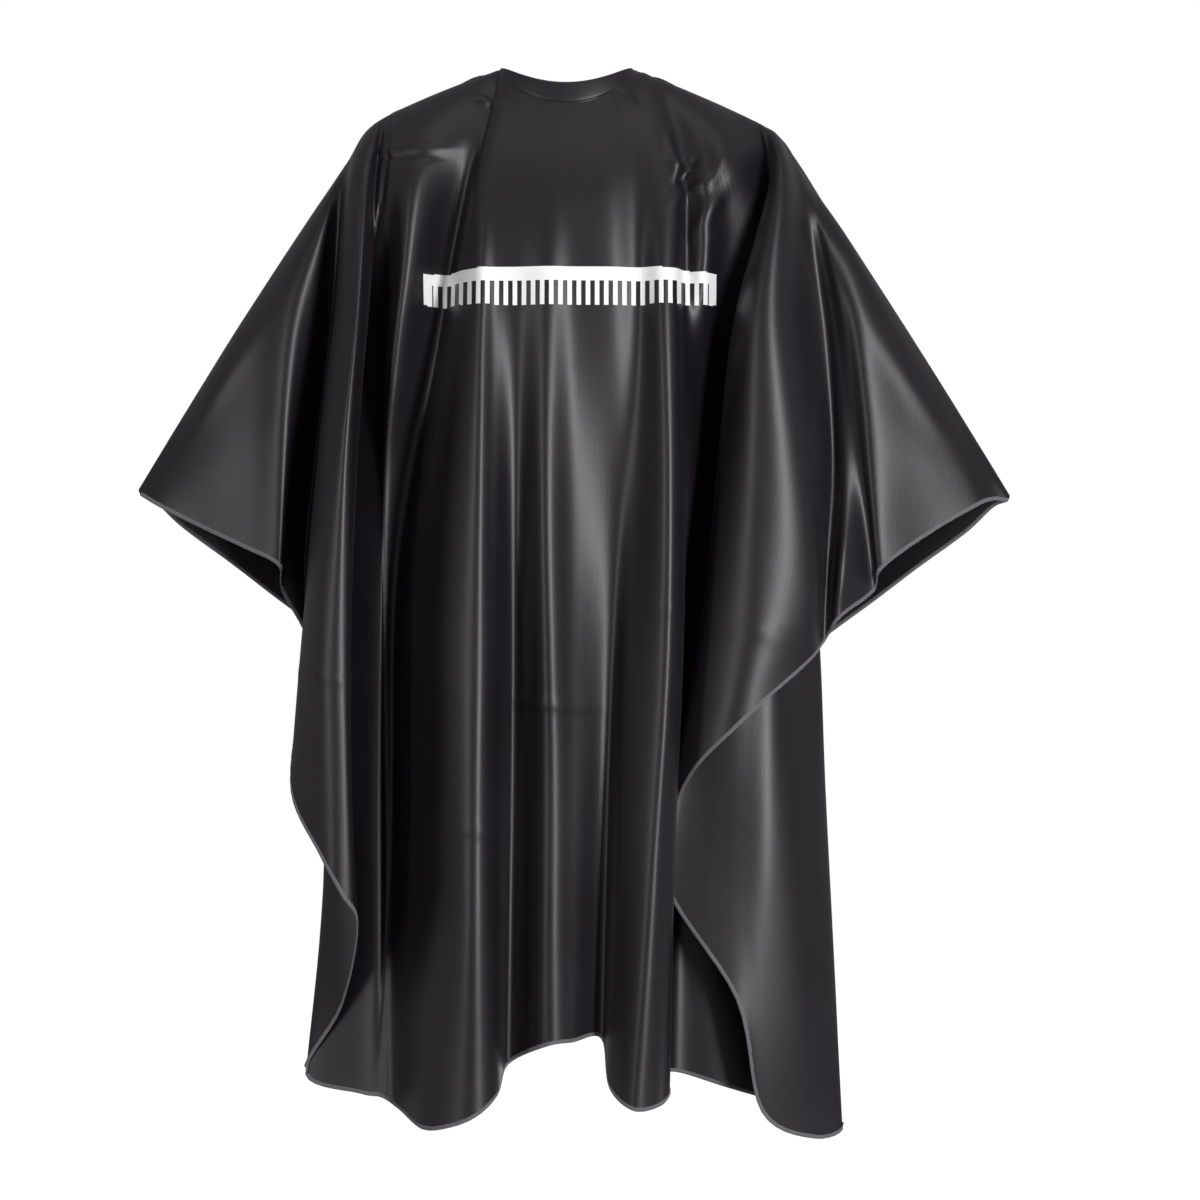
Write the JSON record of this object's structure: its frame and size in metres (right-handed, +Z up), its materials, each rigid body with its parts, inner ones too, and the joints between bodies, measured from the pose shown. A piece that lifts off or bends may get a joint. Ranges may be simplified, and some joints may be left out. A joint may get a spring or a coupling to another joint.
{
  "type": "barber cape",
  "caption": "Black satin barber cape hanging with both sides spread, with a stiffened neckband, an open back and snap tabs at the nape",
  "frame": {"origin": "middle of the neck opening, level with the low point of the front neckline", "axes": "+Z up, the chest faces -Y, the wings spread along X"},
  "size_m": [1.0308, 0.3121, 1.2532],
  "materials": {
    "satin": "black polyester satin, smooth outer face",
    "inner_cloth": "matt reverse of the cloth",
    "interfacing": "stiff non-woven",
    "overlock_thread": "spun polyester thread",
    "snap_plastic": "moulded, glossy",
    "print_ink": "screen-printed white ink",
    "label_cloth": "woven satin ribbon"
  },
  "bodies": {
    "cape": {"left_front_cloth": "satin", "right_front_cloth": "satin", "left_wing_cloth": "satin", "right_wing_cloth": "satin", "left_back_cloth": "satin", "right_back_cloth": "satin", "front_overlock": "overlock_thread", "left_back_overlock": "overlock_thread", "right_back_overlock": "overlock_thread", "neckband_outer": "satin", "neckband_lining": "inner_cloth", "neckband_stiffener": "interfacing", "chest_print": "print_ink"},
    "over_tab": {"over_tab": "satin", "snap_socket_1": "snap_plastic", "snap_socket_2": "snap_plastic", "snap_cap_1": "snap_plastic", "snap_cap_2": "snap_plastic"},
    "under_tab": {"under_tab": "inner_cloth", "snap_stud_1": "snap_plastic", "snap_post_1": "snap_plastic", "snap_stud_2": "snap_plastic", "snap_post_2": "snap_plastic", "snap_stud_3": "snap_plastic", "snap_post_3": "snap_plastic", "snap_stud_4": "snap_plastic", "snap_post_4": "snap_plastic", "snap_stud_5": "snap_plastic", "snap_post_5": "snap_plastic"},
    "care_label": {"care_label": "label_cloth"}
  },
  "joints": [
    {"name": "over_tab_hinge", "type": "hinge", "parent": "cape", "child": "over_tab", "pos_m": [0.04686, 0.0514, -0.00131], "axis": [0.1394, 0.194, -0.971], "range_deg": [0, 70]},
    {"name": "under_tab_hinge", "type": "hinge", "parent": "cape", "child": "under_tab", "pos_m": [-0.04592, 0.05011, -0.00131], "axis": [-0.1394, 0.194, -0.971], "range_deg": [0, 40]},
    {"name": "care_label_hinge", "type": "hinge", "parent": "cape", "child": "care_label", "pos_m": [0.08046, 0, 0.01218], "axis": [0, 1, 0], "range_deg": [0, 50]}
  ]
}
